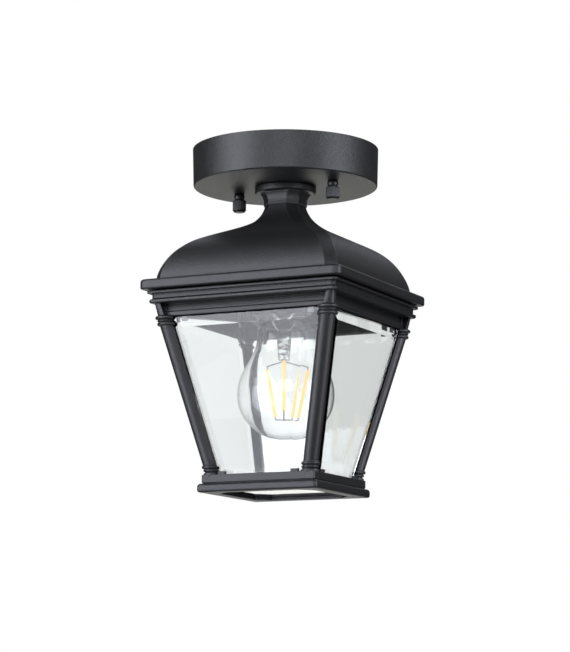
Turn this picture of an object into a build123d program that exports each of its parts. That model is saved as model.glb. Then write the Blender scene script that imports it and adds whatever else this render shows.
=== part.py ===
from build123d import *
import os
from math import atan, cos, degrees, radians, sin, sqrt

os.makedirs("parts", exist_ok=True)

# All lengths are millimetres. Heights run down from the ceiling plane at zero.
# Clearances shared by every fit
seat_gap = 0.3
turn_gap = 0.05
thread_gap = 0.15
screw_gap = 0.3

# Shares of their size that small round parts are eased by
pin_chamfer_share = 0.2
rim_share = 0.3
head_crown_share = 0.45
head_slot_length_share = 1.1
head_slot_width_share = 0.28
head_slot_depth_share = 0.5
pocket_share = 1.2

# Canopy drum against the ceiling
canopy_rim_radius = 60.0
canopy_foot_radius = 59.4
canopy_depth = 24.4
canopy_wall = 1.2
canopy_edge = 1.0

# Mounting cross behind the canopy, turned so its studs meet the canopy holes
cross_turn = -10.2
cross_thickness = 2.0
cross_width = 20.0
cross_stud_arm = 96.0
cross_box_arm = 106.0
box_hole_circle = 88.9
box_hole_radius = 2.4
stud_reach = 37.2
stud_radius = 2.0
stud_length = 32.0
nut_flat = 7.0
nut_height = 3.0
ground_screw_reach = 20.0
ground_screw_radius = 1.7
ground_head_radius = 3.6
ground_head_height = 2.2

# Knurled nuts that hold the canopy up
cap_collar_radius = 3.5
cap_collar_height = 3.2
cap_waist_radius = 3.0
cap_waist_height = 1.3
cap_barrel_radius = 4.4
cap_barrel_height = 6.2
cap_nose_height = 1.3
cap_nose_radius = 3.3
cap_shoulder = 1.0
cap_nose_round = 0.7
cap_bore_end = 2.6
knurl_count = 24
knurl_depth = 0.25

# Hollow threaded tube through the middle
tube_radius = 4.85
tube_bore = 3.4
tube_top = -16.0
tube_bottom = -72.0
tube_nut_flat = 14.0
tube_nut_height = 4.0
washer_radius = 9.0
washer_thickness = 1.2
roof_washer_radius = 8.6

# Round flange under the canopy
flange_radius = 19.7
flange_height = 4.6
flange_edge_top = 0.8
flange_edge_low = 1.6

# Flared neck with cut corners
neck_top_half = 14.3
neck_throat_half = 12.6
neck_foot_half = 12.4
neck_throat_drop = 3.2
neck_foot = -36.7
neck_cut = 5.8

# Bell roof, square in plan with cut corners, from crown to foot
roof_cut = 6.0
roof_wall = 1.8
crown_half = 11.7
crown_height = -36.7
throat_half = 12.9
throat_height = -41.0
nape_half = 15.7
nape_height = -46.0
sweep_half = 21.9
sweep_height = -51.3
brow_half = 35.7
brow_height = -58.0
shoulder_half = 49.0
shoulder_height = -65.0
haunch_half = 57.6
haunch_height = -74.6
hip_half = 62.0
hip_height = -84.3
foot_half = 63.0
foot_height = -90.4
roof_lug_width = 10.0
roof_lug_height = 7.0
roof_lug_inner = 46.5
roof_lug_outer = 60.6
roof_screw_reach = 50.3
roof_screw_radius = 1.7
roof_screw_length = 11.0
roof_screw_head_radius = 3.2
roof_screw_head_height = 2.2

# Cornice: plate, mouldings and frieze cast in one
plate_half = 69.4
plate_corner = 4.5
plate_low = -96.8
plate_edge_top = 2.0
plate_edge_low = 1.3
plate_opening_half = 46.0
plate_opening_corner = 4.0
moulding_cut = 2.0
core_half = 62.4
fillet_half = 65.7
fillet_top = -97.6
fillet_low = -99.3
fillet_edge = 0.45
band_half = 63.3
band_low = -102.2
bead_half = 64.7
bead_top = -102.7
bead_low = -105.3
bead_edge = 1.15
frieze_top_half = 56.4
frieze_low_half = 56.9
frieze_low = -109.9
groove_half = 56.2
lip_half = 58.0
lip_top = -110.3
lip_low = -113.3
lip_edge = 0.6
cavity_half = 54.2
cavity_corner = 2.0

# Corner blocks of the frieze, narrower at the top
block_top_face = 62.1
block_low_face = 61.1
block_top_width = 4.6
block_low_width = 6.0
block_top_round = 2.7
block_low_round = 4.6
block_low = -113.0
pin_boss_inner = 55.4
pin_boss_outer = 57.6

# Round corner posts leaning in toward the foot
post_top_reach = 55.6
post_top_height = -117.0
post_low_reach = 34.4
post_low_height = -208.0
post_top_radius = 5.25
post_low_radius = 4.85
post_foot = -211.2
lean = (post_top_reach - post_low_reach) / (post_top_height - post_low_height)
ring_radius = 6.6
ring_height = 2.0
ring_edge = 0.85
upper_ring_height = lip_low - ring_height / 2
collar_ring_height = -118.25
collar_bead_height = -116.25
collar_bead_radius = 5.9
collar_bead_edge = 0.5
base_ring_radius = 5.9
base_ring_height = -207.5
base_bead_height = -209.6
base_bead_radius = 5.6
base_bead_thickness = 1.4
base_bead_edge = 0.6
foot_ring_top = -211.2
foot_ring_low = -213.3
pin_reach = 57.0
pin_radius = 1.3
pin_top = -110.4
pin_low = -118.0
post_stud_reach = 34.4
post_stud_radius = 1.5
post_stud_top = -203.5
post_stud_low = -219.0
post_nut_flat = 5.5
post_nut_height = 2.4
post_nut_seat = -215.0
post_pocket_low = -218.2

# Base: plinth, groove and round lower moulding
plinth_half = 39.2
plinth_top = -212.4
plinth_low = -217.4
plinth_cut = 0.9
plinth_edge = 0.4
base_groove_half = 38.8
torus_half = 41.6
torus_top = -217.9
torus_corner = 2.4
torus_edge_top = 2.2
torus_edge_low = 1.6
base_low = -223.4
base_opening_half = 33.0
base_opening_cut = 8.0
base_void_half = 35.8
base_void_cut = 7.6
base_ledge = -221.4
stop_length = 5.6
stop_height = 1.8
stop_width = 2.4
stop_overlap = 0.2

# Glass panes with a wide bevel on the outer face
pane_thickness = 3.6
pane_outer = 1.8
pane_side = 5.5
pane_bevel = 6.3
pane_bevel_depth = 1.7
pane_top = -113.6
pane_low = -214.9
pane_groove_side = 3.7
front_pane_drift = 1.5
floor_pane_half = 35.4
floor_pane_thickness = 3.0
frame_thickness = 3.2
frame_inner_half = 30.2
clip_side = 12.0
clip_width = 4.0
clip_thickness = 0.7
clip_top = -101.0
clip_bend = -112.6
clip_tip = -116.6
rivet_radius = 1.2
rivet_height = -104.5
rivet_length = 0.6
rivet_head = 2.0
rivet_head_height = 0.6

# Lampholder hung from the tube
holder_cap_radius = 15.0
holder_cap_low = -77.0
holder_cap_top = -66.0
holder_cap_wall = 1.2
holder_collar_radius = 8.0
holder_collar_top = -61.0
holder_top_radius = 17.2
holder_low_radius = 20.0
holder_top = -77.0
holder_skirt = -108.0
holder_low = -114.0
holder_mouth_radius = 16.4
holder_bore_radius = 14.6
holder_bore_end = -79.0
holder_edge = 1.0
shell_radius = 14.3
shell_wall = 0.4
shell_top = -82.4
shell_low = -105.0
contact_radius = 3.0
contact_thickness = 0.6
contact_screw_radius = 1.6

# Lamp bulb
bulb_tip = -81.6
bulb_contact_radius = 4.7
bulb_contact_height = 1.4
bulb_insulator_radius = 9.6
bulb_insulator_height = 3.2
bulb_cap_radius = 13.1
bulb_cap_low = -109.0
bulb_cap_wall = 0.35
bulb_thread_depth = 0.7
bulb_thread_pitch = 3.6
bulb_thread_turns = 5
bulb_neck_radius = 14.5
bulb_mouth_radius = 12.3
bulb_mouth_top = -107.8
bulb_mouth_low = -109.4
bulb_neck_height = -115.0
bulb_waist_radius = 18.0
bulb_waist_height = -128.0
bulb_chest_radius = 24.0
bulb_chest_height = -140.5
bulb_wide_radius = 29.7
bulb_wide_height = -159.0
bulb_low = -187.8
bulb_wall = 0.9
stem_radius = 4.4
stem_top = -108.2
stem_neck = -118.0
stem_press_top = -127.0
stem_low = -137.0
stem_tip_radius = 3.5
filament_radius = 1.1
filament_length = 31.0
filament_top_reach = 10.7
filament_low_reach = 5.4
filament_turn = 25.7
near_filament_top = -138.8
side_filament_top = -143.0
wire_radius = 0.3
spider_height = -175.2
anchor_radius = 0.5
wire_gap = 0.1
wire_drop = 0.8
wire_rise = 2.0


def post_reach(height):
    """Distance of a post axis from the middle planes at a height."""
    return post_top_reach + lean * (height - post_top_height)


def cut_slab(half, cut, low, high, edge_low=0.0, edge_top=0.0):
    """Square slab with corners cut straight and its rims rounded."""
    with BuildPart() as slab:
        with BuildSketch(Plane.XY.offset(low)) as outline:
            Rectangle(2 * half, 2 * half)
            chamfer(outline.vertices(), cut)
        extrude(amount=high - low)
        if edge_top:
            fillet(slab.faces().sort_by(Axis.Z)[-1].edges(), edge_top)
        if edge_low:
            fillet(slab.faces().sort_by(Axis.Z)[0].edges(), edge_low)
    return slab.part


def round_slab(half, corner, low, high, edge_low=0.0, edge_top=0.0):
    """Square slab with round plan corners and rounded rims."""
    with BuildPart() as slab:
        with BuildSketch(Plane.XY.offset(low)):
            RectangleRounded(2 * half, 2 * half, corner)
        extrude(amount=high - low)
        if edge_top:
            fillet(slab.faces().sort_by(Axis.Z)[-1].edges(), edge_top)
        if edge_low:
            fillet(slab.faces().sort_by(Axis.Z)[0].edges(), edge_low)
    return slab.part


def bell(inset):
    """Solid bell of the roof, moved in and down by the inset."""
    sections = (
        (crown_half, crown_height),
        (throat_half, throat_height),
        (nape_half, nape_height),
        (sweep_half, sweep_height),
        (brow_half, brow_height),
        (shoulder_half, shoulder_height),
        (haunch_half, haunch_height),
        (hip_half, hip_height),
        (foot_half, foot_height),
    )
    with BuildPart() as solid:
        for half, height in sections:
            with BuildSketch(Plane.XY.offset(height - inset)) as outline:
                Rectangle(2 * (half - inset), 2 * (half - inset))
                chamfer(outline.vertices(), roof_cut - inset * (2 - sqrt(2)))
        loft()
    return solid.part


def hex_nut(flat, bore, low, height):
    """Plain hexagon nut with a clearance bore."""
    with BuildPart() as nut:
        with BuildSketch(Plane.XY.offset(low)):
            RegularPolygon(flat / 2, 6, major_radius=False)
            Circle(bore, mode=Mode.SUBTRACT)
        extrude(amount=height)
    return nut.part


def disc(radius, low, high, edge=0.0):
    """Round disc with both rims rounded."""
    with BuildPart() as slab:
        with BuildSketch(Plane.XY.offset(low)):
            Circle(radius)
        extrude(amount=high - low)
        if edge:
            fillet(slab.edges().filter_by(GeomType.CIRCLE), edge)
    return slab.part


def pan_screw(radius, head_radius, head_height, length, head_up):
    """Pan head screw whose head rests on the origin plane."""
    sign = 1 if head_up else -1
    slot_length = head_radius * head_slot_length_share
    slot_width = head_radius * head_slot_width_share
    with BuildPart() as screw:
        with BuildSketch():
            Circle(radius)
        extrude(amount=-sign * length)
        with BuildSketch():
            Circle(head_radius)
        extrude(amount=sign * head_height)
        crown = screw.faces().sort_by(Axis.Z)[-1 if head_up else 0]
        fillet(crown.edges(), head_height * head_crown_share)
        with BuildSketch(Plane.XY.offset(sign * head_height)):
            Rectangle(slot_length, slot_width)
            Rectangle(slot_width, slot_length)
        extrude(amount=-sign * head_height * head_slot_depth_share, mode=Mode.SUBTRACT)
    return screw.part


def ring_on_post(radius, height, thickness, edge):
    """Level collar centred where the near post crosses a height."""
    reach = post_reach(height)
    collar = disc(radius, height - thickness / 2, height + thickness / 2, edge)
    return collar.translate((reach, -reach, 0))


# Drum canopy
with BuildPart() as canopy:
    with BuildSketch(Plane.XZ):
        with BuildLine():
            Polyline(
                (0, -canopy_depth),
                (canopy_foot_radius, -canopy_depth),
                (canopy_rim_radius, 0),
                (canopy_rim_radius - canopy_wall, 0),
                (canopy_foot_radius - canopy_wall, canopy_wall - canopy_depth),
                (0, canopy_wall - canopy_depth),
                close=True,
            )
        make_face()
    revolve(axis=Axis.Z)
    fillet(canopy.edges().group_by(Axis.Z)[0], canopy_edge)
    with Locations((0, 0, -canopy_depth)):
        Hole(tube_radius + screw_gap)
    with Locations(Rotation(0, 0, cross_turn)):
        with Locations((stud_reach, 0, -canopy_depth), (-stud_reach, 0, -canopy_depth)):
            Hole(stud_radius + screw_gap)
canopy.part.label = "canopy"
export_step(canopy.part, "parts/canopy.step")

# Mounting cross
with BuildPart() as mounting_cross:
    with BuildSketch(Plane.XY.offset(-cross_thickness)):
        with Locations(Rotation(0, 0, cross_turn)):
            SlotOverall(cross_stud_arm, cross_width)
            SlotOverall(cross_box_arm, cross_width, rotation=90)
            Circle(tube_radius + thread_gap, mode=Mode.SUBTRACT)
            with Locations((stud_reach, 0), (-stud_reach, 0)):
                Circle(stud_radius + thread_gap, mode=Mode.SUBTRACT)
            with Locations((0, box_hole_circle / 2), (0, -box_hole_circle / 2)):
                Circle(box_hole_radius, mode=Mode.SUBTRACT)
            with Locations((0, ground_screw_reach)):
                Circle(ground_screw_radius + thread_gap, mode=Mode.SUBTRACT)
    extrude(amount=cross_thickness)
mounting_cross.part.label = "mounting_cross"
export_step(mounting_cross.part, "parts/mounting_cross.step")

# Two studs and their lock nuts
with BuildPart() as canopy_studs:
    with BuildSketch():
        with Locations(Rotation(0, 0, cross_turn)):
            with Locations((stud_reach, 0), (-stud_reach, 0)):
                Circle(stud_radius)
    extrude(amount=-stud_length)
    chamfer(canopy_studs.edges().group_by(Axis.Z)[0], stud_radius * pin_chamfer_share)
canopy_studs.part.label = "canopy_studs"
export_step(canopy_studs.part, "parts/canopy_studs.step")

lock_nut = hex_nut(nut_flat, stud_radius + thread_gap, -cross_thickness - nut_height, nut_height)
with BuildPart() as stud_nuts:
    with Locations(Rotation(0, 0, cross_turn)):
        with Locations((stud_reach, 0), (-stud_reach, 0)):
            add(lock_nut)
stud_nuts.part.label = "stud_nuts"
export_step(stud_nuts.part, "parts/stud_nuts.step")

# Earthing screw on the cross
earth = pan_screw(
    ground_screw_radius, ground_head_radius, ground_head_height, cross_thickness, False
)
with BuildPart() as ground_screw:
    with Locations(Rotation(0, 0, cross_turn)):
        with Locations((0, ground_screw_reach, -cross_thickness)):
            add(earth)
ground_screw.part.label = "ground_screw"
export_step(ground_screw.part, "parts/ground_screw.step")

# Knurled cap nut, drawn with its stud on the vertical axis
cap_top = -canopy_depth - turn_gap
cap_waist_low = cap_top - cap_collar_height - cap_waist_height
cap_barrel_low = cap_waist_low - cap_barrel_height
cap_bottom = cap_barrel_low - cap_nose_height
with BuildPart() as cap_nut:
    with BuildSketch(Plane.XZ):
        with BuildLine():
            collar_low = (cap_waist_radius, cap_top - cap_collar_height)
            l1 = Line((0, cap_top), (cap_waist_radius, cap_top))
            l2 = ThreePointArc(
                l1 @ 1, (cap_collar_radius, cap_top - cap_collar_height / 2), collar_low
            )
            l3 = Line(l2 @ 1, (cap_waist_radius, cap_waist_low + cap_shoulder))
            l4 = Line(l3 @ 1, (cap_barrel_radius, cap_waist_low))
            l5 = Line(l4 @ 1, (cap_barrel_radius, cap_barrel_low))
            l6 = Line(l5 @ 1, (cap_nose_radius, cap_bottom))
            l7 = Line(l6 @ 1, (0, cap_bottom))
            Line(l7 @ 1, l1 @ 0)
        make_face()
    revolve(axis=Axis.Z)
    fillet(cap_nut.edges().group_by(Axis.Z)[0], cap_nose_round)
    with BuildSketch(Plane.XY.offset(cap_barrel_low)):
        with PolarLocations(cap_barrel_radius, knurl_count):
            Rectangle(knurl_depth * 2, knurl_depth * 2, rotation=45)
    extrude(amount=cap_barrel_height, mode=Mode.SUBTRACT)
    with BuildSketch(Plane.XY.offset(cap_top)):
        Circle(stud_radius + turn_gap)
    extrude(amount=cap_bottom + cap_bore_end - cap_top, mode=Mode.SUBTRACT)

with BuildPart() as cap_nut_right:
    with Locations(Rotation(0, 0, cross_turn)):
        with Locations((stud_reach, 0, 0)):
            add(cap_nut.part)
cap_nut_right.part.label = "cap_nut_right"
export_step(cap_nut_right.part, "parts/cap_nut_right.step")

with BuildPart() as cap_nut_left:
    with Locations(Rotation(0, 0, cross_turn)):
        with Locations((-stud_reach, 0, 0)):
            add(cap_nut.part)
cap_nut_left.part.label = "cap_nut_left"
export_step(cap_nut_left.part, "parts/cap_nut_left.step")

# Hollow tube with its nuts and washers
with BuildPart() as threaded_tube:
    with BuildSketch(Plane.XY.offset(tube_bottom)):
        Circle(tube_radius)
        Circle(tube_bore, mode=Mode.SUBTRACT)
    extrude(amount=tube_top - tube_bottom)
    chamfer(threaded_tube.edges().filter_by(GeomType.CIRCLE), (tube_radius - tube_bore) * pin_chamfer_share)
threaded_tube.part.label = "threaded_tube"
export_step(threaded_tube.part, "parts/threaded_tube.step")

canopy_floor = canopy_wall - canopy_depth
with BuildPart() as canopy_washer:
    with BuildSketch(Plane.XY.offset(canopy_floor)):
        Circle(washer_radius)
        Circle(tube_radius + thread_gap, mode=Mode.SUBTRACT)
    extrude(amount=washer_thickness)
canopy_washer.part.label = "canopy_washer"
export_step(canopy_washer.part, "parts/canopy_washer.step")

upper_nut = hex_nut(
    tube_nut_flat, tube_radius + thread_gap, canopy_floor + washer_thickness, tube_nut_height
)
with BuildPart() as canopy_nut:
    add(upper_nut)
    chamfer(canopy_nut.edges().group_by(Axis.Z)[-1].filter_by(GeomType.LINE), seat_gap)
canopy_nut.part.label = "canopy_nut"
export_step(canopy_nut.part, "parts/canopy_nut.step")

roof_ceiling = crown_height - roof_wall
with BuildPart() as roof_washer:
    with BuildSketch(Plane.XY.offset(roof_ceiling - washer_thickness)):
        Circle(roof_washer_radius)
        Circle(tube_radius + thread_gap, mode=Mode.SUBTRACT)
    extrude(amount=washer_thickness)
roof_washer.part.label = "roof_washer"
export_step(roof_washer.part, "parts/roof_washer.step")

lower_nut_low = roof_ceiling - washer_thickness - tube_nut_height
lower_nut = hex_nut(tube_nut_flat, tube_radius + thread_gap, lower_nut_low, tube_nut_height)
with BuildPart() as roof_nut:
    add(lower_nut)
    chamfer(roof_nut.edges().group_by(Axis.Z)[0].filter_by(GeomType.LINE), seat_gap)
roof_nut.part.label = "roof_nut"
export_step(roof_nut.part, "parts/roof_nut.step")

# Round flange and flared neck
flange_low = -canopy_depth - flange_height
with BuildPart() as stem_flange:
    with BuildSketch(Plane.XY.offset(flange_low)):
        Circle(flange_radius)
    extrude(amount=flange_height)
    fillet(stem_flange.edges().group_by(Axis.Z)[-1], flange_edge_top)
    fillet(stem_flange.edges().group_by(Axis.Z)[0], flange_edge_low)
    with BuildSketch(Plane.XY.offset(flange_low)):
        Circle(tube_radius + screw_gap)
    extrude(amount=flange_height, mode=Mode.SUBTRACT)
stem_flange.part.label = "stem_flange"
export_step(stem_flange.part, "parts/stem_flange.step")

with BuildPart() as neck:
    with BuildSketch(Plane.XY.offset(flange_low)) as neck_top_outline:
        Rectangle(2 * neck_top_half, 2 * neck_top_half)
        chamfer(neck_top_outline.vertices(), neck_cut)
    with BuildSketch(Plane.XY.offset(flange_low - neck_throat_drop)) as neck_throat_outline:
        Rectangle(2 * neck_throat_half, 2 * neck_throat_half)
        chamfer(neck_throat_outline.vertices(), neck_cut)
    with BuildSketch(Plane.XY.offset(neck_foot)) as neck_foot_outline:
        Rectangle(2 * neck_foot_half, 2 * neck_foot_half)
        chamfer(neck_foot_outline.vertices(), neck_cut)
    loft()
    with BuildSketch(Plane.XY.offset(neck_foot)):
        Circle(tube_radius + screw_gap)
    extrude(amount=flange_low - neck_foot, mode=Mode.SUBTRACT)
neck.part.label = "neck"
export_step(neck.part, "parts/neck.step")

# Bell roof as a cast shell with four inner lugs
outer_bell = bell(0)
inner_bell = bell(roof_wall)
lug_depth = roof_lug_outer - roof_lug_inner
with BuildPart() as roof:
    add(outer_bell)
    add(inner_bell, mode=Mode.SUBTRACT)
    with BuildSketch(Plane.XY.offset(foot_height)):
        with PolarLocations((roof_lug_outer + roof_lug_inner) / 2, 4):
            Rectangle(lug_depth, roof_lug_width)
    extrude(amount=roof_lug_height)
    with BuildSketch(Plane.XY.offset(foot_height)):
        with PolarLocations(roof_screw_reach, 4):
            Circle(roof_screw_radius + thread_gap)
    extrude(amount=roof_lug_height, mode=Mode.SUBTRACT)
    with BuildSketch(Plane.XY.offset(crown_height)):
        Circle(tube_radius + screw_gap)
    extrude(amount=-2 * roof_wall, mode=Mode.SUBTRACT)
roof.part.label = "roof"
export_step(roof.part, "parts/roof.step")

roof_screw = pan_screw(
    roof_screw_radius, roof_screw_head_radius, roof_screw_head_height, roof_screw_length, False
)
with BuildPart() as roof_screws:
    with Locations((0, 0, plate_low)):
        with PolarLocations(roof_screw_reach, 4):
            add(roof_screw)
roof_screws.part.label = "roof_screws"
export_step(roof_screws.part, "parts/roof_screws.step")

# Pane solids are shaped on the sloping plane of the front side
tilt_scale = sqrt(1 + lean * lean)
pane_middle = (pane_top + pane_low) / 2
pane_plane = Plane(
    origin=(0, -(post_reach(pane_middle) + pane_outer), pane_middle),
    x_dir=(1, 0, 0),
    z_dir=(0, -1, -lean),
)
pane_reach = (pane_top - pane_low) / 2 * tilt_scale


def pane_outline(side, extra):
    """Corners of the pane on its own plane, for a given gap to the post axes."""
    upper = pane_reach + extra
    top_half = post_reach(pane_middle + upper / tilt_scale) - side
    low_half = post_reach(pane_middle - upper / tilt_scale) - side
    return (-low_half, -upper), (low_half, -upper), (top_half, upper), (-top_half, upper)


with BuildPart() as pane_body:
    with BuildSketch(pane_plane.offset(-pane_thickness)):
        Polygon(*pane_outline(pane_side, 0), align=None)
    extrude(amount=pane_thickness - pane_bevel_depth)
    with BuildSketch(pane_plane.offset(-pane_bevel_depth)) as pane_rim:
        Polygon(*pane_outline(pane_side, 0), align=None)
    with BuildSketch(pane_plane) as pane_face:
        Polygon(*pane_outline(pane_side, 0), align=None)
        offset(amount=-pane_bevel, kind=Kind.INTERSECTION, mode=Mode.REPLACE)
    loft(sections=[pane_rim.sketch, pane_face.sketch])

with BuildPart() as pane_space:
    with BuildSketch(pane_plane.offset(-pane_thickness - seat_gap)):
        Polygon(*pane_outline(pane_groove_side, seat_gap), align=None)
    extrude(amount=pane_thickness + 2 * seat_gap)

# Cornice, built from its mouldings down to the lip and opened from below
plate_body = round_slab(
    plate_half, plate_corner, plate_low, foot_height, plate_edge_low, plate_edge_top
)
core_body = cut_slab(core_half, moulding_cut, bead_low, plate_low)
fillet_body = cut_slab(
    fillet_half, moulding_cut, fillet_low, fillet_top, fillet_edge, fillet_edge
)
band_body = cut_slab(band_half, moulding_cut, band_low, fillet_low)
bead_body = cut_slab(bead_half, moulding_cut, bead_low, bead_top, bead_edge, bead_edge)
groove_body = cut_slab(groove_half, seat_gap, lip_top, frieze_low)
lip_body = cut_slab(lip_half, moulding_cut, lip_low, lip_top, lip_edge, lip_edge)

with BuildPart() as corner_block:
    top_centre = block_top_face - block_top_width / 2
    with BuildSketch(Plane.XY.offset(bead_low)) as block_top_outline:
        with Locations((top_centre, -top_centre)):
            Rectangle(block_top_width, block_top_width)
        outer_corner = block_top_outline.vertices().sort_by(Axis((0, 0, 0), (1, -1, 0)))[-1]
        fillet(outer_corner, block_top_round)
    low_centre = block_low_face - block_low_width / 2
    with BuildSketch(Plane.XY.offset(block_low)) as block_low_outline:
        with Locations((low_centre, -low_centre)):
            Rectangle(block_low_width, block_low_width)
        outer_corner = block_low_outline.vertices().sort_by(Axis((0, 0, 0), (1, -1, 0)))[-1]
        fillet(outer_corner, block_low_round)
    loft(ruled=True)
    mirror(about=Plane.XZ)
    mirror(about=Plane.YZ)

pin_boss_width = pin_boss_outer - pin_boss_inner
pin_boss_centre = (pin_boss_outer + pin_boss_inner) / 2
with BuildPart() as cornice:
    add(plate_body)
    add(core_body)
    add(fillet_body)
    add(band_body)
    add(bead_body)
    add(groove_body)
    add(lip_body)
    with BuildSketch(Plane.XY.offset(bead_low)):
        Rectangle(2 * frieze_top_half, 2 * frieze_top_half)
    with BuildSketch(Plane.XY.offset(frieze_low)):
        Rectangle(2 * frieze_low_half, 2 * frieze_low_half)
    loft(ruled=True)
    with BuildSketch(Plane.XY.offset(lip_low)):
        RectangleRounded(2 * cavity_half, 2 * cavity_half, cavity_corner)
    extrude(amount=plate_low - lip_low, mode=Mode.SUBTRACT)
    with BuildSketch(Plane.XY.offset(plate_low)):
        RectangleRounded(2 * plate_opening_half, 2 * plate_opening_half, plate_opening_corner)
    extrude(amount=foot_height - plate_low, mode=Mode.SUBTRACT)
    with BuildSketch(Plane.XY.offset(block_low)):
        with GridLocations(2 * pin_boss_centre, 2 * pin_boss_centre, 2, 2):
            Rectangle(pin_boss_width, pin_boss_width)
    extrude(amount=bead_low - block_low)
    add(corner_block.part)
    with BuildSketch(Plane.XY.offset(lip_low)):
        with GridLocations(2 * pin_reach, 2 * pin_reach, 2, 2):
            Circle(pin_radius + thread_gap)
    extrude(amount=pin_top + seat_gap - lip_low, mode=Mode.SUBTRACT)
    with BuildSketch(Plane.XY.offset(plate_low)):
        with PolarLocations(roof_screw_reach, 4):
            Circle(roof_screw_radius + screw_gap)
    extrude(amount=foot_height - plate_low, mode=Mode.SUBTRACT)
    for turn in (0, 90, 180, 270):
        add(pane_space.part.rotate(Axis.Z, turn), mode=Mode.SUBTRACT)
cornice.part.label = "cornice"
export_step(cornice.part, "parts/cornice.step")

# Pins that locate the post heads in the corner blocks
with BuildPart() as post_pins:
    with BuildSketch(Plane.XY.offset(pin_low)):
        with GridLocations(2 * pin_reach, 2 * pin_reach, 2, 2):
            Circle(pin_radius)
    extrude(amount=pin_top - pin_low)
    chamfer(post_pins.edges().filter_by(GeomType.CIRCLE), pin_radius * pin_chamfer_share)
post_pins.part.label = "post_pins"
export_step(post_pins.part, "parts/post_pins.step")

# Near post with its level rings, then its mirrored copies
upper_ring = ring_on_post(ring_radius, upper_ring_height, ring_height, ring_edge)
collar_ring = ring_on_post(ring_radius, collar_ring_height, ring_height, ring_edge)
collar_bead = ring_on_post(
    collar_bead_radius, collar_bead_height, ring_height / 2, collar_bead_edge - turn_gap
)
base_ring = ring_on_post(base_ring_radius, base_ring_height, ring_height, ring_edge)
base_bead = ring_on_post(
    base_bead_radius, base_bead_height, base_bead_thickness, base_bead_edge
)
upper_ring_top = upper_ring_height + ring_height / 2
with BuildPart() as post:
    with BuildSketch(Plane.XY.offset(upper_ring_top)):
        with Locations((post_reach(upper_ring_top), -post_reach(upper_ring_top))):
            Circle(post_top_radius)
    with BuildSketch(Plane.XY.offset(post_foot)):
        with Locations((post_reach(post_foot), -post_reach(post_foot))):
            Circle(post_low_radius)
    loft(ruled=True)
    add(upper_ring)
    add(collar_ring)
    add(collar_bead)
    add(base_ring)
    add(base_bead)
    add(pane_space.part, mode=Mode.SUBTRACT)
    add(pane_space.part.rotate(Axis.Z, 90), mode=Mode.SUBTRACT)
    with BuildSketch(Plane.XY.offset(upper_ring_top)):
        with Locations((pin_reach, -pin_reach)):
            Circle(pin_radius + thread_gap)
    extrude(amount=pin_low - seat_gap - upper_ring_top, mode=Mode.SUBTRACT)
    with BuildSketch(Plane.XY.offset(post_foot)):
        with Locations((post_stud_reach, -post_stud_reach)):
            Circle(post_stud_radius + thread_gap)
    extrude(amount=post_stud_top + screw_gap - post_foot, mode=Mode.SUBTRACT)

with BuildPart() as post_front_right:
    add(post.part)
post_front_right.part.label = "post_front_right"
export_step(post_front_right.part, "parts/post_front_right.step")

with BuildPart() as post_front_left:
    mirror(post.part, about=Plane.YZ)
post_front_left.part.label = "post_front_left"
export_step(post_front_left.part, "parts/post_front_left.step")

with BuildPart() as post_back_right:
    mirror(post.part, about=Plane.XZ)
post_back_right.part.label = "post_back_right"
export_step(post_back_right.part, "parts/post_back_right.step")

with BuildPart() as post_back_left:
    mirror(post_front_left.part, about=Plane.XZ)
post_back_left.part.label = "post_back_left"
export_step(post_back_left.part, "parts/post_back_left.step")

# Studs and nuts that draw the posts onto the base
with BuildPart() as post_studs:
    with BuildSketch(Plane.XY.offset(post_stud_low)):
        with GridLocations(2 * post_stud_reach, 2 * post_stud_reach, 2, 2):
            Circle(post_stud_radius)
    extrude(amount=post_stud_top - post_stud_low)
    chamfer(post_studs.edges().filter_by(GeomType.CIRCLE), post_stud_radius * pin_chamfer_share)
post_studs.part.label = "post_studs"
export_step(post_studs.part, "parts/post_studs.step")

stud_nut = hex_nut(
    post_nut_flat, post_stud_radius + thread_gap, post_nut_seat - post_nut_height, post_nut_height
)
with BuildPart() as post_nuts:
    for turn in (45, 135, 225, 315):
        with Locations(Rotation(0, 0, turn)):
            with Locations((post_stud_reach * sqrt(2), 0, 0)):
                add(stud_nut)
post_nuts.part.label = "post_nuts"
export_step(post_nuts.part, "parts/post_nuts.step")

# Base ring with corner pads, nut pockets and small stops beside the posts
plinth_body = cut_slab(
    plinth_half, plinth_cut, plinth_low, plinth_top, plinth_edge, plinth_edge
)
base_core = cut_slab(base_groove_half, plinth_cut, torus_top, plinth_low)
torus_body = round_slab(
    torus_half, torus_corner, base_low, torus_top, torus_edge_low, torus_edge_top
)
pad_reach = post_reach(foot_ring_top)
pad_edge = seat_gap
foot_pad = disc(base_ring_radius, foot_ring_low, foot_ring_top, pad_edge)
pocket_width = post_nut_flat * pocket_share
pocket_length = pocket_width
pocket_reach = post_stud_reach * sqrt(2) - pocket_length / 2
stop_middle = pad_reach - base_ring_radius - stop_length / 2 + stop_overlap
stop_offset = plinth_half - stop_width / 2 - plinth_edge
stop_round = stop_width * rim_share

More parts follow.
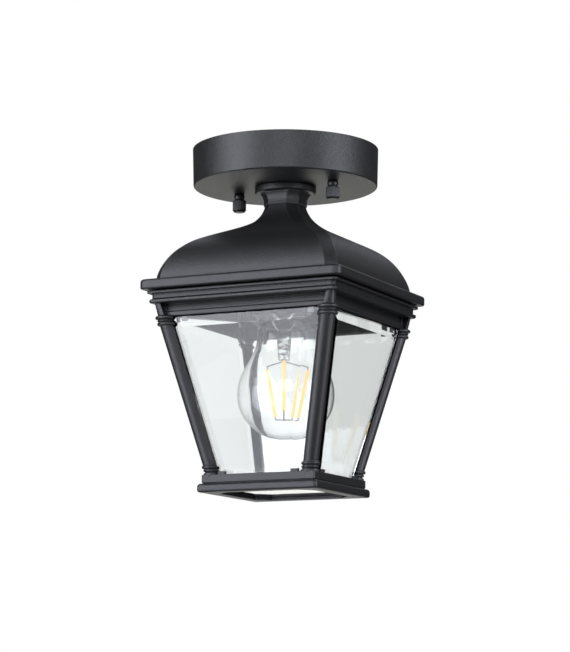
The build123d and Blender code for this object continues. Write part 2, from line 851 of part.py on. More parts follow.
with BuildPart() as base:
    add(plinth_body)
    add(base_core)
    add(torus_body)
    with GridLocations(2 * pad_reach, 2 * pad_reach, 2, 2):
        add(foot_pad)
    with BuildSketch(Plane.XY.offset(base_ledge)) as base_void:
        Rectangle(2 * base_void_half, 2 * base_void_half)
        chamfer(base_void.vertices(), base_void_cut)
    extrude(amount=foot_ring_top - base_ledge, mode=Mode.SUBTRACT)
    with BuildSketch(Plane.XY.offset(base_low)) as base_opening:
        Rectangle(2 * base_opening_half, 2 * base_opening_half)
        chamfer(base_opening.vertices(), base_opening_cut)
    extrude(amount=base_ledge - base_low, mode=Mode.SUBTRACT)
    with BuildSketch(Plane.XY.offset(foot_ring_top)):
        with GridLocations(2 * post_stud_reach, 2 * post_stud_reach, 2, 2):
            Circle(post_stud_radius + thread_gap)
    extrude(amount=post_stud_low - seat_gap - foot_ring_top, mode=Mode.SUBTRACT)
    with BuildSketch(Plane.XY.offset(post_pocket_low)):
        with PolarLocations(pocket_reach, 4, start_angle=45):
            Rectangle(2 * pocket_length, pocket_width)
    extrude(amount=post_nut_seat - post_pocket_low, mode=Mode.SUBTRACT)
    with BuildSketch(Plane.XY.offset(plinth_top)):
        with GridLocations(2 * stop_middle, 2 * stop_offset, 2, 2):
            RectangleRounded(stop_length, stop_width, stop_round)
        with GridLocations(2 * stop_offset, 2 * stop_middle, 2, 2):
            RectangleRounded(stop_width, stop_length, stop_round)
    extrude(amount=stop_height)
base.part.label = "base"
export_step(base.part, "parts/base.step")

# Four bevelled panes
with BuildPart() as pane_front:
    add(pane_body.part.translate((-front_pane_drift, 0, 0)))
pane_front.part.label = "pane_front"
export_step(pane_front.part, "parts/pane_front.step")

with BuildPart() as pane_right:
    add(pane_body.part.rotate(Axis.Z, 90))
pane_right.part.label = "pane_right"
export_step(pane_right.part, "parts/pane_right.step")

with BuildPart() as pane_back:
    add(pane_body.part.rotate(Axis.Z, 180))
pane_back.part.label = "pane_back"
export_step(pane_back.part, "parts/pane_back.step")

with BuildPart() as pane_left:
    add(pane_body.part.rotate(Axis.Z, 270))
pane_left.part.label = "pane_left"
export_step(pane_left.part, "parts/pane_left.step")

# Floor pane and the frame that seats the four sides on it
floor_pane_top = base_ledge + floor_pane_thickness
floor_pane_body = cut_slab(floor_pane_half, base_void_cut, base_ledge, floor_pane_top)
with BuildPart() as pane_floor:
    add(floor_pane_body)
pane_floor.part.label = "pane_floor"
export_step(pane_floor.part, "parts/pane_floor.step")

frame_top = floor_pane_top + frame_thickness
frame_inner_cut = base_void_cut - (floor_pane_half - frame_inner_half) * (2 - sqrt(2))
frame_body = cut_slab(floor_pane_half, base_void_cut, floor_pane_top, frame_top)
frame_void = cut_slab(frame_inner_half, frame_inner_cut, floor_pane_top, frame_top)
with BuildPart() as glazing_frame:
    add(frame_body)
    add(frame_void, mode=Mode.SUBTRACT)
glazing_frame.part.label = "glazing_frame"
export_step(glazing_frame.part, "parts/glazing_frame.step")

# Spring clips that hold the pane tops, with their rivets
clip_wall = cavity_half - clip_thickness / 2
pane_back_gap = pane_outer - pane_thickness - clip_thickness
clip_bend_reach = min(clip_wall, post_reach(clip_bend) + pane_back_gap)
clip_tip_reach = post_reach(clip_tip) + pane_back_gap
with BuildPart() as clip:
    with BuildSketch(Plane.YZ.offset(-clip_width / 2)):
        with BuildLine():
            Polyline(
                (-clip_wall, clip_top),
                (-clip_bend_reach, clip_bend),
                (-clip_tip_reach, clip_tip),
            )
        trace(line_width=clip_thickness)
    extrude(amount=clip_width)
    with Locations((0, -clip_wall, rivet_height)):
        Cylinder(
            rivet_radius + thread_gap,
            2 * clip_thickness,
            rotation=(90, 0, 0),
            mode=Mode.SUBTRACT,
        )
clip_reach = post_reach(clip_tip) - clip_side
with BuildPart() as pane_clips:
    for turn in (0, 90, 180, 270):
        with Locations(Rotation(0, 0, turn)):
            with Locations((clip_reach, 0, 0), (-clip_reach, 0, 0)):
                add(clip.part)
pane_clips.part.label = "pane_clips"
export_step(pane_clips.part, "parts/pane_clips.step")

with BuildPart() as clip_rivet:
    Cylinder(rivet_radius, rivet_length, align=(Align.CENTER, Align.CENTER, Align.MAX))
    Cylinder(rivet_head, rivet_head_height, align=(Align.CENTER, Align.CENTER, Align.MIN))
    fillet(clip_rivet.edges().group_by(Axis.Z)[-1], rivet_head_height / 2)
rivet_seat = cavity_half - clip_thickness
with BuildPart() as clip_rivets:
    for turn in (0, 90, 180, 270):
        with Locations(Rotation(0, 0, turn)):
            for side in (clip_reach, -clip_reach):
                with Locations(Location((side, -rivet_seat, rivet_height), (-90, 0, 0))):
                    add(clip_rivet.part)
clip_rivets.part.label = "clip_rivets"
export_step(clip_rivets.part, "parts/clip_rivets.step")

# Lampholder: metal cap, moulded body, screw shell and centre contact
with BuildPart() as holder_cap:
    with BuildSketch(Plane.XZ):
        with BuildLine():
            cap_inner = holder_cap_radius - holder_cap_wall
            Polyline(
                (tube_radius + thread_gap, holder_collar_top),
                (holder_collar_radius, holder_collar_top),
                (holder_collar_radius, holder_cap_top),
                (holder_cap_radius, holder_cap_top - holder_cap_wall),
                (holder_cap_radius, holder_cap_low),
                (cap_inner, holder_cap_low),
                (cap_inner, holder_cap_top - 2 * holder_cap_wall),
                (tube_radius + thread_gap, holder_cap_top - 2 * holder_cap_wall),
                close=True,
            )
        make_face()
    revolve(axis=Axis.Z)
    fillet(holder_cap.edges().group_by(Axis.Z)[-1].sort_by(SortBy.RADIUS)[-1], holder_edge)
holder_cap.part.label = "holder_cap"
export_step(holder_cap.part, "parts/holder_cap.step")

with BuildPart() as holder_body:
    with BuildSketch(Plane.XZ):
        with BuildLine():
            Polyline(
                (contact_screw_radius + thread_gap, holder_top),
                (holder_top_radius, holder_top),
                (holder_top_radius, holder_skirt + holder_low_radius - holder_top_radius),
                (holder_low_radius, holder_skirt),
                (holder_low_radius, holder_low),
                (holder_mouth_radius, holder_low),
                (holder_bore_radius + seat_gap, shell_low - holder_edge),
                (holder_bore_radius + seat_gap, holder_bore_end),
                (contact_screw_radius + thread_gap, holder_bore_end),
                close=True,
            )
        make_face()
    revolve(axis=Axis.Z)
    outer_rims = holder_body.edges().filter_by(GeomType.CIRCLE).group_by(Axis.Z)
    fillet(outer_rims[0], holder_edge)
    fillet(outer_rims[-1].sort_by(SortBy.RADIUS)[-1], holder_edge)
holder_body.part.label = "holder_body"
export_step(holder_body.part, "parts/holder_body.step")

with BuildPart() as screw_shell:
    with BuildSketch(Plane.XY.offset(shell_low)):
        Circle(shell_radius)
        Circle(shell_radius - shell_wall, mode=Mode.SUBTRACT)
    extrude(amount=shell_top - shell_low)
    with BuildSketch(Plane.XY.offset(shell_top)):
        Circle(shell_radius)
        Circle(bulb_insulator_radius, mode=Mode.SUBTRACT)
    extrude(amount=shell_wall)
screw_shell.part.label = "screw_shell"
export_step(screw_shell.part, "parts/screw_shell.step")

with BuildPart() as centre_contact:
    with BuildSketch(Plane.XY.offset(holder_bore_end - contact_thickness)):
        Circle(contact_radius)
    extrude(amount=contact_thickness)
    with BuildSketch(Plane.XY.offset(holder_bore_end)):
        Circle(contact_screw_radius)
    extrude(amount=holder_top - holder_bore_end)
    with BuildSketch(Plane.XY.offset(bulb_tip + turn_gap)):
        Circle(contact_radius / 2)
    extrude(amount=holder_bore_end - contact_thickness - bulb_tip - turn_gap)
centre_contact.part.label = "centre_contact"
export_step(centre_contact.part, "parts/centre_contact.step")

# Bulb cap with a rounded thread, its insulator and contact
insulator_low = bulb_tip - bulb_contact_height - bulb_insulator_height
thread_start = insulator_low - bulb_thread_pitch / 2
with BuildPart() as bulb_cap:
    with BuildSketch(Plane.XZ):
        with BuildLine():
            crest = bulb_cap_radius
            root = bulb_cap_radius - bulb_thread_depth
            profile = [(bulb_insulator_radius, insulator_low), (root, insulator_low)]
            for step in range(2 * bulb_thread_turns + 1):
                radius = root if step % 2 else crest
                profile.append((radius, thread_start - step * bulb_thread_pitch / 2))
            Spline(*profile[2:])
            Polyline(profile[0], profile[1], profile[2])
            Polyline(
                profile[-1],
                (crest, bulb_cap_low),
                (crest - bulb_cap_wall, bulb_cap_low),
                (root - bulb_cap_wall, profile[-1][1]),
                (root - bulb_cap_wall, insulator_low - bulb_cap_wall),
                (bulb_insulator_radius, insulator_low - bulb_cap_wall),
                profile[0],
            )
        make_face()
    revolve(axis=Axis.Z)
bulb_cap.part.label = "bulb_cap"
export_step(bulb_cap.part, "parts/bulb_cap.step")

with BuildPart() as bulb_insulator:
    with BuildSketch(Plane.XY.offset(insulator_low)):
        Circle(bulb_insulator_radius + bulb_cap_wall)
    extrude(amount=bulb_insulator_height, taper=degrees(atan(1)))
bulb_insulator.part.label = "bulb_insulator"
export_step(bulb_insulator.part, "parts/bulb_insulator.step")

with BuildPart() as bulb_contact:
    with BuildSketch(Plane.XY.offset(bulb_tip - bulb_contact_height)):
        Circle(bulb_contact_radius)
    extrude(amount=bulb_contact_height)
    fillet(bulb_contact.edges().group_by(Axis.Z)[-1], bulb_contact_height / 2)
bulb_contact.part.label = "bulb_contact"
export_step(bulb_contact.part, "parts/bulb_contact.step")

# Clear envelope with an even wall
dome_turn = radians(45)
dome_drop = bulb_wide_height - bulb_low
with BuildPart() as bulb_envelope:
    with BuildSketch(Plane.XZ):
        with BuildLine():
            mouth = Line((bulb_mouth_radius, bulb_mouth_top), (bulb_mouth_radius, bulb_mouth_low))
            side = Spline(
                mouth @ 1,
                (bulb_neck_radius, bulb_neck_height),
                (bulb_waist_radius, bulb_waist_height),
                (bulb_chest_radius, bulb_chest_height),
                (bulb_wide_radius, bulb_wide_height),
                tangents=((0, -1), (0, -1)),
            )
            Spline(
                side @ 1,
                (bulb_wide_radius * cos(dome_turn), bulb_wide_height - dome_drop * sin(dome_turn)),
                (0, bulb_low),
                tangents=((0, -1), (-1, 0)),
            )
            Line((0, bulb_low), (0, bulb_mouth_top))
            Line((0, bulb_mouth_top), mouth @ 0)
        make_face()
    revolve(axis=Axis.Z)
    offset(amount=-bulb_wall, openings=bulb_envelope.faces().sort_by(Axis.Z)[-1])
bulb_envelope.part.label = "bulb_envelope"
export_step(bulb_envelope.part, "parts/bulb_envelope.step")

# Glass stem with its flare and pressed tip
stem_flare_radius = bulb_mouth_radius - bulb_wall - seat_gap
with BuildPart() as bulb_stem:
    with BuildSketch(Plane.XZ):
        with BuildLine():
            stem_bore = stem_radius - bulb_wall
            Polyline(
                (stem_flare_radius, stem_top),
                (stem_radius, stem_neck),
                (stem_radius, stem_press_top),
                (stem_tip_radius, stem_low),
                (0, stem_low),
                (0, stem_press_top),
                (stem_bore, stem_press_top),
                (stem_bore, stem_neck),
                (stem_flare_radius - bulb_wall, stem_top),
                close=True,
            )
        make_face()
    revolve(axis=Axis.Z)
bulb_stem.part.label = "bulb_stem"
export_step(bulb_stem.part, "parts/bulb_stem.step")

# Four leaning filament rods; the facing pair sits a little higher
filament_shift = filament_top_reach - filament_low_reach
filament_drop = sqrt(filament_length**2 - filament_shift**2)
side_filament_low = side_filament_top - filament_drop
near_filament_low = near_filament_top - filament_drop
with BuildPart() as side_filament:
    with BuildSketch(Plane.XY.offset(side_filament_top)):
        with Locations((filament_top_reach, 0)):
            Circle(filament_radius)
    with BuildSketch(Plane.XY.offset(side_filament_low)):
        with Locations((filament_low_reach, 0)):
            Circle(filament_radius)
    loft(ruled=True)
    fillet(side_filament.edges().filter_by(GeomType.CIRCLE), filament_radius * rim_share)
near_filament = side_filament.part.translate((0, 0, near_filament_top - side_filament_top))
with BuildPart() as bulb_filaments:
    for turn in (0, 180):
        with Locations(Rotation(0, 0, filament_turn + turn)):
            add(side_filament.part)
        with Locations(Rotation(0, 0, filament_turn + turn + 90)):
            add(near_filament)
bulb_filaments.part.label = "bulb_filaments"
export_step(bulb_filaments.part, "parts/bulb_filaments.step")

# Support wires: a glass rod with bent arms to both ends of each filament
def wire_path(top, low):
    """Bent wires from the rod to the upper and lower end of one filament."""
    with BuildPart() as wires:
        with BuildSketch(Plane.XZ.offset(-wire_radius)):
            with BuildLine():
                Polyline(
                    (0, stem_low - wire_drop),
                    (filament_top_reach, top + wire_rise),
                    (filament_top_reach, top + wire_gap),
                )
            trace(line_width=2 * wire_radius)
            with BuildLine():
                Polyline(
                    (0, spider_height),
                    (filament_low_reach, spider_height),
                    (filament_low_reach, low - wire_gap),
                )
            trace(line_width=2 * wire_radius)
        extrude(amount=2 * wire_radius)
    return wires.part


side_wires = wire_path(side_filament_top, side_filament_low)
near_wires = wire_path(near_filament_top, near_filament_low)
with BuildPart() as bulb_wires:
    with BuildSketch(Plane.XY.offset(spider_height - anchor_radius)):
        Circle(anchor_radius)
    extrude(amount=stem_low - wire_gap - spider_height + anchor_radius)
    for turn in (0, 180):
        with Locations(Rotation(0, 0, filament_turn + turn)):
            add(side_wires)
        with Locations(Rotation(0, 0, filament_turn + turn + 90)):
            add(near_wires)
bulb_wires.part.label = "bulb_wires"
export_step(bulb_wires.part, "parts/bulb_wires.step")
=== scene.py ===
import math

import bmesh
import bpy
from mathutils import Matrix, Vector


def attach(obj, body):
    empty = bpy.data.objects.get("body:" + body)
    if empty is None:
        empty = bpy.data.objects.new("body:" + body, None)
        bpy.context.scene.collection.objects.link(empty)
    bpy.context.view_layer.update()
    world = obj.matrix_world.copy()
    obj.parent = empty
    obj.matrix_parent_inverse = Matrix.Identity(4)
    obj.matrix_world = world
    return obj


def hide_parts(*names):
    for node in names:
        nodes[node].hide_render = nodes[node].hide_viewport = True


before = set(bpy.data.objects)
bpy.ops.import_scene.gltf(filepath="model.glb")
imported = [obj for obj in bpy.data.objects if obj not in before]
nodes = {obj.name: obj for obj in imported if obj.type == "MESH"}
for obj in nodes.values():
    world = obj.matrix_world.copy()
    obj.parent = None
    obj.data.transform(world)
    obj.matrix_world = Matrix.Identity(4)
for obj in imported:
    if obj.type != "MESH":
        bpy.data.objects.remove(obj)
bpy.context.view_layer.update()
mm = 0.001
scene = bpy.context.scene


def direction(azimuth, elevation):
    """Unit vector away from the lantern, in degrees: azimuth 0 is the front, 90 the right-hand side."""
    a, e = math.radians(azimuth), math.radians(elevation)
    return Vector((math.sin(a) * math.cos(e), -math.cos(a) * math.cos(e), math.sin(e)))


# Camera: at the photograph's viewing angle, below the lantern and a little to its right
toward = direction(25.719, -8.87)
camera_roll = math.radians(0.193)
camera_distance = 1.55692
camera_target = Vector((0, 0, -0.114854))
focal_px, picture_px = 2430.875, 652
sensor_width = 36.0

camera_data = bpy.data.cameras.new("studio_camera")
camera_data.sensor_fit = "AUTO"
camera_data.sensor_width = sensor_width
camera_data.lens = sensor_width * focal_px / picture_px
camera = bpy.data.objects.new("studio_camera", camera_data)
scene.collection.objects.link(camera)
camera.location = camera_target + toward * camera_distance
turn = (-toward).to_track_quat("-Z", "Y").to_matrix().to_4x4()
camera.matrix_world = Matrix.Translation(camera.location) @ turn @ Matrix.Rotation(camera_roll, 4, "Z")
scene.camera = camera
scene.view_settings.view_transform = "Standard"


# Nodes that the materials share
def shader(name):
    """A new material with its node tree and its Principled shader."""
    material = bpy.data.materials.new(name)
    material.use_nodes = True
    tree = material.node_tree
    principled = tree.nodes["Principled BSDF"]
    return material, tree, principled


def add(tree, kind, **values):
    """A new node; each value sets its property of that name."""
    node = tree.nodes.new(kind)
    for key, value in values.items():
        setattr(node, key, value)
    return node


def feed(tree, source, socket):
    """Links an output to a socket, or sets the socket where the source is a plain value."""
    if isinstance(source, bpy.types.NodeSocket):
        tree.links.new(source, socket)
    else:
        socket.default_value = source


def noise(tree, scale, detail=3.0, rough=0.5, stretch=None):
    """Noise in the piece's own coordinates, stretched along them if told so."""
    place = add(tree, "ShaderNodeTexCoord").outputs["Object"]
    if stretch:
        mapping = add(tree, "ShaderNodeMapping")
        mapping.inputs["Scale"].default_value = stretch
        feed(tree, place, mapping.inputs["Vector"])
        place = mapping.outputs["Vector"]
    texture = add(tree, "ShaderNodeTexNoise")
    texture.inputs["Scale"].default_value = scale
    texture.inputs["Detail"].default_value = detail
    texture.inputs["Roughness"].default_value = rough
    feed(tree, place, texture.inputs["Vector"])
    return texture.outputs["Fac"]


def ramp(tree, source, stops):
    """A colour ramp through two stops of (place, colour)."""
    node = add(tree, "ShaderNodeValToRGB")
    for element, (place, colour) in zip(node.color_ramp.elements, stops):
        element.position = place
        element.color = (*colour, 1.0)
    feed(tree, source, node.inputs["Fac"])
    return node.outputs["Color"]


def mottle(tree, source, colour, low, high):
    """A colour that a texture varies between two shares of itself."""
    dark = tuple(c * low for c in colour)
    light = tuple(min(1.0, c * high) for c in colour)
    return ramp(tree, source, [(0.3, dark), (0.7, light)])


def remap(tree, source, low, high, start=0.0, end=1.0):
    """Maps a value from start-end to low-high and holds it there; high may be another output."""
    node = add(tree, "ShaderNodeMapRange")
    node.inputs["From Min"].default_value = start
    node.inputs["From Max"].default_value = end
    node.inputs["To Min"].default_value = low
    feed(tree, high, node.inputs["To Max"])
    feed(tree, source, node.inputs["Value"])
    return node.outputs["Result"]


def times(tree, first, second):
    """The product of an output and another output or number."""
    node = add(tree, "ShaderNodeMath", operation="MULTIPLY")
    feed(tree, first, node.inputs[0])
    feed(tree, second, node.inputs[1])
    return node.outputs["Value"]


def dot(tree, first, second):
    """The dot product of an output and another output or vector."""
    node = add(tree, "ShaderNodeVectorMath", operation="DOT_PRODUCT")
    feed(tree, first, node.inputs[0])
    feed(tree, second, node.inputs[1])
    return node.outputs["Value"]


def bump(tree, principled, sources, normal=None):
    """Chains bumps of (height source, strength, distance) into the shader's normal, over a first normal if given."""
    for source, strength, distance in sources:
        node = add(tree, "ShaderNodeBump")
        node.inputs["Strength"].default_value = strength
        node.inputs["Distance"].default_value = distance
        feed(tree, source, node.inputs["Height"])
        if normal is not None:
            feed(tree, normal, node.inputs["Normal"])
        normal = node.outputs["Normal"]
    feed(tree, normal, principled.inputs["Normal"])


# Materials
edge_radius = 0.6 * mm
# Reach of the ambient occlusion that paints shade into nooks.
crevice_shade_reach = 4 * mm


def black_paint(name, tone=0.006, rough=0.44, grain=0.3 * mm, grain_scale=1150.0, edge=0.08):
    """Satin black powder paint: pebbled grain, soft waves, faint mottling, a painted highlight along convex edges
    and painted shade (less specular) in nooks.
    """
    material, tree, principled = shader(name)
    fine = noise(tree, grain_scale, 2.0, 0.55)
    wide = noise(tree, 60.0, 2.0, 0.5)
    colour = ramp(tree, wide, [
        (0.3, (tone * 0.85, tone * 0.87, tone * 0.92)),
        (0.7, (tone * 1.15, tone * 1.18, tone * 1.25)),
    ])

    soft_edge = add(tree, "ShaderNodeBevel", samples=8)
    soft_edge.inputs["Radius"].default_value = edge_radius
    form = add(tree, "ShaderNodeNewGeometry")
    match = dot(tree, soft_edge.outputs["Normal"], form.outputs["Normal"])
    # Painted highlight: where the bevelled normal parts from the true one, the edge gets a lighter colour (the edge
    # tone).
    edge_highlight_mask = remap(tree, match, 0.0, 1.0, start=0.998, end=0.93)
    # Painted shade: ambient occlusion dims the specular in nooks and keeps the painted edge highlight off concave
    # edges.
    crevice_shade_ao = add(tree, "ShaderNodeAmbientOcclusion", samples=8)
    crevice_shade_ao.inputs["Distance"].default_value = crevice_shade_reach
    crevice_shade_factor = remap(tree, crevice_shade_ao.outputs["AO"], 0.12, 1.0, start=0.3, end=0.85)

    edge_highlight_mix = add(tree, "ShaderNodeMix", data_type="RGBA")
    feed(tree, times(tree, edge_highlight_mask, crevice_shade_factor), edge_highlight_mix.inputs["Factor"])
    feed(tree, colour, edge_highlight_mix.inputs["A"])
    edge_highlight_mix.inputs["B"].default_value = (edge, edge * 1.03, edge * 1.1, 1)
    feed(tree, edge_highlight_mix.outputs["Result"], principled.inputs["Base Color"])
    # Painted shade: less specular where nooks are closed in.
    feed(tree, times(tree, crevice_shade_factor, 0.5), principled.inputs["Specular IOR Level"])
    feed(tree, remap(tree, fine, rough - 0.08, rough + 0.08), principled.inputs["Roughness"])
    principled.inputs["IOR"].default_value = 1.62
    bump(tree, principled, [(wide, 0.25, 0.4 * mm), (fine, 0.7, grain)], soft_edge.outputs["Normal"])
    return material


def metal(name, colour, rough, stretch=(1, 1, 1)):
    """Plated or turned metal with a fine grain, drawn out along an axis by the stretch."""
    material, tree, principled = shader(name)
    grain = noise(tree, 700.0, 2.0, stretch=stretch)
    feed(tree, mottle(tree, grain, colour, 0.88, 1.06), principled.inputs["Base Color"])
    principled.inputs["Metallic"].default_value = 1.0
    feed(tree, remap(tree, grain, rough - 0.06, rough + 0.08), principled.inputs["Roughness"])
    bump(tree, principled, [(grain, 0.2, 0.03 * mm)])
    return material


def plastic(name, colour, rough, grain=0.02 * mm):
    """Moulded plastic, rubber or enamel with a faint mottling."""
    material, tree, principled = shader(name)
    fine = noise(tree, 1100.0, 2.0)
    wide = noise(tree, 90.0, 2.0)
    feed(tree, mottle(tree, wide, colour, 0.9, 1.1), principled.inputs["Base Color"])
    feed(tree, remap(tree, fine, rough - 0.05, rough + 0.05), principled.inputs["Roughness"])
    bump(tree, principled, [(fine, 0.4, grain)])
    return material


def clear(principled, bend):
    """Turns a shader into sharp, clear glass."""
    principled.inputs["Transmission Weight"].default_value = 1.0
    principled.inputs["IOR"].default_value = bend
    principled.inputs["Roughness"].default_value = 0.0


def glass(name, colour, wave=0.0, bend=1.5):
    """Clear glass with a faint tint and, where told so, a slow wave in its surface."""
    material, tree, principled = shader(name)
    slow = noise(tree, 30.0, 1.0)
    feed(tree, mottle(tree, slow, colour, 1.0, 1.004), principled.inputs["Base Color"])
    clear(principled, bend)
    if wave:
        bump(tree, principled, [(slow, 1.0, wave)])
    return material


def pressed_glass(name, colour, press_top, press_low):
    """Clear stem glass whose pressed lower end is rippled and sparkles."""
    material, tree, principled = shader(name)
    place = add(tree, "ShaderNodeTexCoord")
    axes = add(tree, "ShaderNodeSeparateXYZ")
    feed(tree, place.outputs["Object"], axes.inputs["Vector"])
    share = remap(tree, axes.outputs["Z"], 0.0, 1.0, start=press_top, end=press_low)
    crumple = noise(tree, 420.0, 1.5, 0.6)
    feed(tree, mottle(tree, crumple, colour, 1.0, 1.01), principled.inputs["Base Color"])
    clear(principled, 1.52)
    bump(tree, principled, [(times(tree, crumple, share), 1.0, 1.2 * mm)])
    return material


def amber(name):
    """Phosphor-coated filament: warm yellow with a slightly uneven, waxy surface and a faint painted glow."""
    material, tree, principled = shader(name)
    fine = noise(tree, 1500.0, 2.0)
    tint = ramp(tree, fine, [(0.25, (1.0, 0.62, 0.13)), (0.75, (1.0, 0.76, 0.28))])
    feed(tree, tint, principled.inputs["Base Color"])
    feed(tree, tint, principled.inputs["Emission Color"])
    # Painted light: a faint glow in the filament's own yellow stands in for the studio light that reaches it through
    # the bulb glass.
    principled.inputs["Emission Strength"].default_value = 0.75
    principled.inputs["Roughness"].default_value = 0.45
    bump(tree, principled, [(fine, 0.5, 0.04 * mm)])
    return material


along_axis = (1, 1, 6)
paint = black_paint("paint_satin_black")
paint_canopy = black_paint("paint_canopy", grain=0.34 * mm, grain_scale=1100.0)
cap_paint = black_paint("paint_cap_nuts", tone=0.005, rough=0.4, grain=0.02 * mm)
zinc = metal("zinc_plated", (0.62, 0.62, 0.6), 0.35)
brass = metal("brass_shell", (0.72, 0.55, 0.26), 0.3, along_axis)
nickel = metal("nickel_cap", (0.74, 0.73, 0.7), 0.25, along_axis)
dull_spring = metal("dull_spring_steel", (0.3, 0.3, 0.31), 0.6)
lead_wire = metal("lead_wire", (0.42, 0.42, 0.42), 0.55)
green = plastic("green_ground_screw", (0.03, 0.28, 0.07), 0.4)
rubber = plastic("rubber_black", (0.015, 0.015, 0.015), 0.75, 0.05 * mm)
moulding = plastic("moulded_black", (0.018, 0.018, 0.019), 0.35)
enamel = plastic("glass_insulator", (0.02, 0.02, 0.03), 0.2)
pane_glass = glass("pane_glass", (0.925, 0.945, 0.935))
bulb_glass = glass("bulb_glass", (0.99, 0.995, 0.993), wave=0.02 * mm, bend=1.42)
stem_glass = pressed_glass("stem_glass", (0.97, 0.985, 0.975), -124 * mm, -128 * mm)
filament_painted_glow = amber("filament_with_painted_glow")

painted = ("stem_flange", "neck", "roof", "cornice", "base",
           "post_front_right", "post_front_left", "post_back_right", "post_back_left")
panes = ("pane_front", "pane_right", "pane_back", "pane_left", "pane_floor")
finish_of = {
    **dict.fromkeys(painted, paint),
    **dict.fromkeys(panes, pane_glass),
    "canopy": paint_canopy,
    "cap_nut_left": cap_paint,
    "cap_nut_right": cap_paint,
    "ground_screw": green,
    "glazing_frame": rubber,
    "pane_clips": dull_spring,
    "holder_cap": moulding,
    "holder_body": moulding,
    "screw_shell": brass,
    "centre_contact": brass,
    "bulb_cap": nickel,
    "bulb_insulator": enamel,
    "bulb_contact": nickel,
    "bulb_envelope": bulb_glass,
    "bulb_stem": stem_glass,
    "bulb_filaments": filament_painted_glow,
    "bulb_wires": lead_wire,
}
for name, node in nodes.items():
    material = finish_of.get(name, zinc)
    if not node.material_slots:
        node.data.materials.append(material)
    for slot in node.material_slots:
        slot.material = material


# Pieces
def piece(name, build, material):
    """Turns a bmesh into an object of the scene with one material."""
    mesh = bpy.data.meshes.new(name)
    build.to_mesh(mesh)
    build.free()
    mesh.materials.append(material)
    made = bpy.data.objects.new(name, mesh)
    scene.collection.objects.link(made)
    return made


def ring_of(name, half, cut, inner_share, top, low, material):
    """A flat ring with cut corners between two heights, built as one closed mesh."""
    corners = []
    for sx, sy in ((1, 1), (-1, 1), (-1, -1), (1, -1)):
        pair = [(sx * half, sy * (half - cut)), (sx * (half - cut), sy * half)]
        corners += pair if sx * sy > 0 else pair[::-1]
    build = bmesh.new()
    rows = []
    for share, height in ((1, top), (1, low), (inner_share, low), (inner_share, top)):
        rows.append([build.verts.new((x * share, y * share, height)) for x, y in corners])
    for row, following in zip(rows, rows[1:] + rows[:1]):
        for k in range(len(corners)):
            j = (k + 1) % len(corners)
            build.faces.new((row[k], following[k], following[j], row[j]))
    bmesh.ops.recalc_face_normals(build, faces=build.faces)
    return piece(name, build, material)


# A thin black ring under the neck's foot paints the shadow line in the joint between the neck and the roof
neck_shadow_ring = ring_of("neck_shadow_ring", 12.25 * mm, 5.7 * mm, 0.9, -36.72 * mm, -37.45 * mm, rubber)
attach(neck_shadow_ring, "lantern")

# Bevelled panes that reach into the grooves of the posts; sizes in millimetres, as in the part's source
pane_slope = 0.2331
pane_lean = math.atan(pane_slope)
pane_foot, pane_head = -214.9, -113.6
pane_inner = 51.84
pane_side = 48.15
pane_reference = -125.0
pane_rim = 2.4
pane_depth = 3.6
pane_bevel = 6.3
groove_reach = 1.4
near_reach = 1.45
front_drift = -1.5


def bevelled_pane(name, turn, left, right, drift):
    """A leaning trapezoid pane: flat inside, bevelled outside, with its bevel lines moved by the drift."""
    spin = Matrix.Rotation(turn, 3, "Z")
    sideways = Vector((1, 0, 0))
    upward = Vector((0, -math.sin(pane_lean), math.cos(pane_lean)))
    outward = Vector((0, -math.cos(pane_lean), -math.sin(pane_lean)))
    origin = Vector((0, -pane_inner, pane_reference))
    build = bmesh.new()

    def row(rim, depth):
        """Four corners at a depth: the rim outline, or the outline inside the bevel."""
        inset = 0 if rim else pane_bevel
        slant = inset / math.cos(math.atan(math.sin(pane_lean)))
        points = []
        for height, up in ((pane_foot, 1), (pane_head, -1)):
            along = (height - pane_reference) / math.cos(pane_lean) + up * inset
            half = pane_side + along * math.cos(pane_lean) * pane_slope
            sides = (-half - left, half + right) if rim else (-half + slant + drift, half - slant + drift)
            points.append([origin + sideways * side + upward * along + outward * depth for side in sides])
        ordered = (points[0][0], points[0][1], points[1][1], points[1][0])
        return [build.verts.new(spin @ point * mm) for point in ordered]

    inside, edge, face = row(True, 0), row(True, pane_rim), row(False, pane_depth)
    build.faces.new(inside)
    build.faces.new(face)
    for low, high in ((inside, edge), (edge, face)):
        for k in range(4):
            j = (k + 1) % 4
            build.faces.new((low[k], low[j], high[j], high[k]))
    bmesh.ops.recalc_face_normals(build, faces=build.faces)
    return piece(name, build, pane_glass)


for quarters, name in enumerate(("front", "right", "back", "left")):
    front = name == "front"
    pane = bevelled_pane("glass_" + name, quarters * math.pi / 2, near_reach if front else groove_reach,
                         groove_reach, front_drift if front else 0)
    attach(pane, "lantern")
    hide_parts("pane_" + name)

# A plain pale floor
floor_material, tree, principled = shader("floor_pale")
feed(tree, mottle(tree, noise(tree, 3.0, 2.0), (0.8, 0.8, 0.8), 1.0, 1.025), principled.inputs["Base Color"])
principled.inputs["Roughness"].default_value = 0.9
grid = bmesh.new()
bmesh.ops.create_grid(grid, x_segments=8, y_segments=8, size=6.0)
floor = piece("studio_floor", grid, floor_material)
floor.location = (0, 0, -2.2)

# Soft studio light
light_centre = Vector((0, 0, -0.12))
cool = (0.887, 0.905, 1.0)
warm = (1, 1, 0.96)


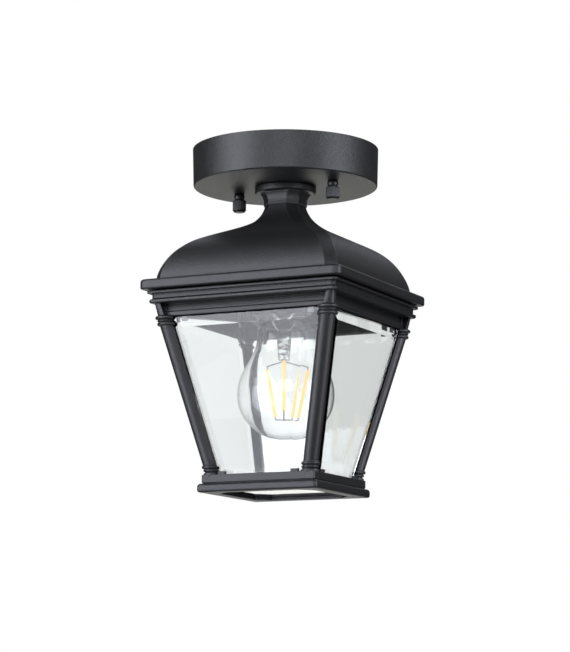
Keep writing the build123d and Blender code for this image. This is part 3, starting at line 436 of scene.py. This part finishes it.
def softbox(name, azimuth, elevation, distance, width, height, power, colour=cool, behind=False):
    """A soft area light that faces the lantern; one behind it isn't seen through the glass."""
    data = bpy.data.lights.new(name, "AREA")
    data.shape = "RECTANGLE"
    data.size = width
    data.size_y = height
    data.energy = power
    data.color = colour
    light = bpy.data.objects.new(name, data)
    back = direction(azimuth, elevation)
    light.location = light_centre + back * distance
    light.rotation_mode = "QUATERNION"
    light.rotation_quaternion = (-back).to_track_quat("-Z", "Y")
    light.visible_camera = False
    light.visible_transmission = not behind
    scene.collection.objects.link(light)


softbox("softbox_left", -36, 16, 1.5, 1.0, 1.5, 21)
softbox("softbox_left_low", -34, -23, 1.5, 1.7, 0.8, 11)
softbox("softbox_right", 90, 2, 1.5, 1.0, 1.3, 18)
softbox("softbox_front", 26, 14, 2.4, 1.2, 1.0, 20)
softbox("softbox_back", 150, 50, 1.8, 1.4, 0.8, 8, behind=True)
softbox("softbox_back_left", -128, 44, 1.8, 0.9, 0.8, 2.5, behind=True)
softbox("softbox_low", 206, -16, 1.6, 0.9, 0.7, 2.1, warm, behind=True)

# A white surround, seen directly and through the glass. Paint mirrors a dim one, and glass one that is
# bright towards the left and dark towards the right and the back.
seen_level = 1.0
paint_level = 0.035
glass_dark, glass_bright = 0.02, 0.7
bright_side = (-0.94, -0.342, 0.0)

world = bpy.data.worlds.new("studio_world")
scene.world = world
world.use_nodes = True
sky = world.node_tree
path = add(sky, "ShaderNodeLightPath")
bounced = add(sky, "ShaderNodeMath", operation="ADD", use_clamp=True)
feed(sky, path.outputs["Diffuse Depth"], bounced.inputs[0])
feed(sky, path.outputs["Glossy Depth"], bounced.inputs[1])
towards = add(sky, "ShaderNodeTexCoord")
side = dot(sky, towards.outputs["Generated"], bright_side)
shade = remap(sky, side, glass_dark, glass_bright, start=-0.85, end=0.85)
mirrored = remap(sky, path.outputs["Is Singular Ray"], paint_level, shade)
level = remap(sky, bounced.outputs["Value"], seen_level, mirrored)
background = sky.nodes["Background"]
feed(sky, level, background.inputs["Strength"])
background.inputs["Color"].default_value = (1, 1, 1, 1)
